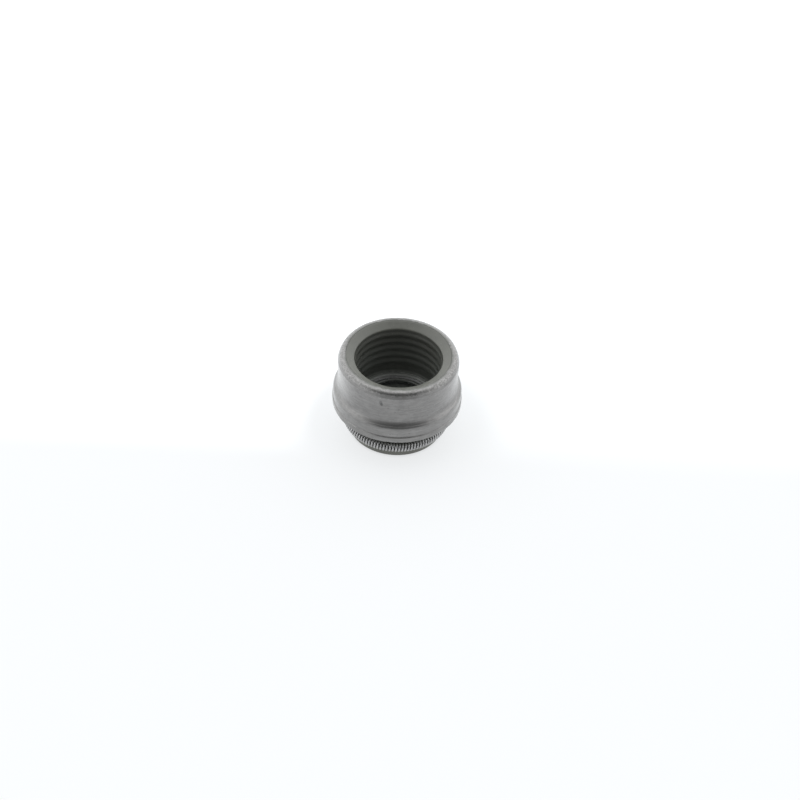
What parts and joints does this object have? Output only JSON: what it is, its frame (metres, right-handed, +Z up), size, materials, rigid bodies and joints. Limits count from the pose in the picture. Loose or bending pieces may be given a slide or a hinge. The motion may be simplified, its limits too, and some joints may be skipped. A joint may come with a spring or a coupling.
{
  "type": "valve stem seal",
  "caption": "Valve stem seal: bell-shaped drawn steel case, olive rubber body bonded inside it, garter spring round the lip.",
  "frame": {"origin": "centre of the base, on the seal's axis, in the plane it stands on", "axes": "+Z up along the seal's axis, from the spring lip to the guide opening; the seal is round, so X and Y are free"},
  "size_m": [0.0164, 0.0164, 0.0117],
  "materials": {
    "case_steel": "satin drawn sheet",
    "olive_rubber": "moulded, matt to satin",
    "spring_wire": "bright drawn wire"
  },
  "bodies": {
    "root": {"steel_case": "case_steel", "rubber_body": "olive_rubber", "garter_spring": "spring_wire"}
  },
  "joints": []
}
